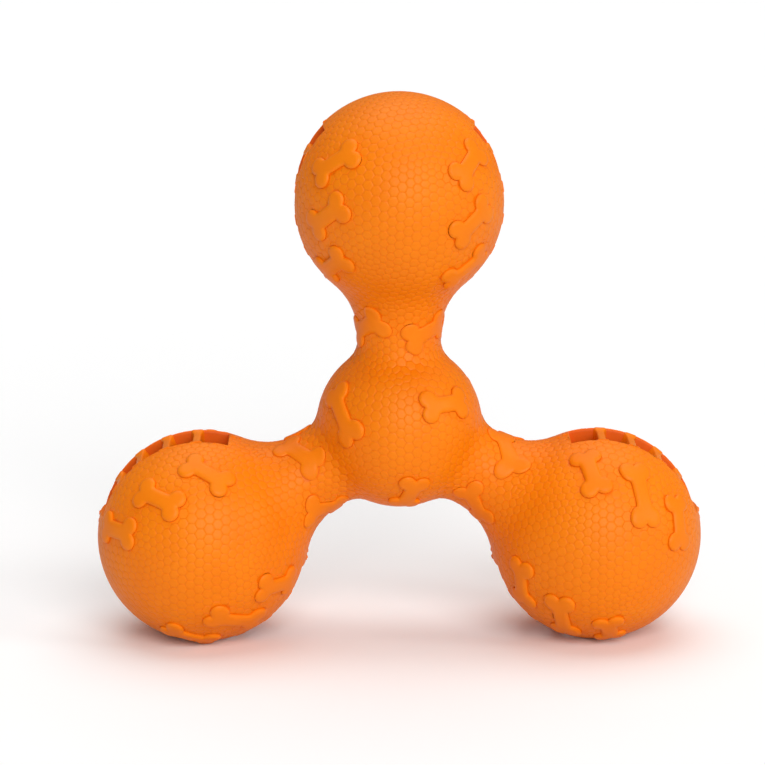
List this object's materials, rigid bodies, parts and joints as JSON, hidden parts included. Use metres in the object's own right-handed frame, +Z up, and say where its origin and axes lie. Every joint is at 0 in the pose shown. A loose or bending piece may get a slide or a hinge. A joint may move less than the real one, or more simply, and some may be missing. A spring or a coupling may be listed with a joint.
{
  "type": "rubber chew toy",
  "caption": "Rubber chew toy of hollow balls on necks round a hub, moulded in two bonded halves, with barred slots that hold and release treats.",
  "frame": {"origin": "on the floor, midway between the two lower balls and in the plane where the halves meet", "axes": "+Z up through the top ball, +X across from the left ball to the right ball, +Y from the front half to the back half"},
  "size_m": [0.1716, 0.06, 0.1554],
  "materials": {
    "orange_rubber": "matte natural rubber with a fine hexagonal moulded texture"
  },
  "bodies": {
    "root": {"front_hub": "orange_rubber", "front_top_cup": "orange_rubber", "front_left_cup": "orange_rubber", "front_right_cup": "orange_rubber", "front_top_bars": "orange_rubber", "front_left_bars": "orange_rubber", "front_right_bars": "orange_rubber", "back_hub": "orange_rubber", "back_top_cup": "orange_rubber", "back_left_cup": "orange_rubber", "back_right_cup": "orange_rubber", "back_top_bars": "orange_rubber", "back_left_bars": "orange_rubber", "back_right_bars": "orange_rubber"}
  },
  "joints": []
}
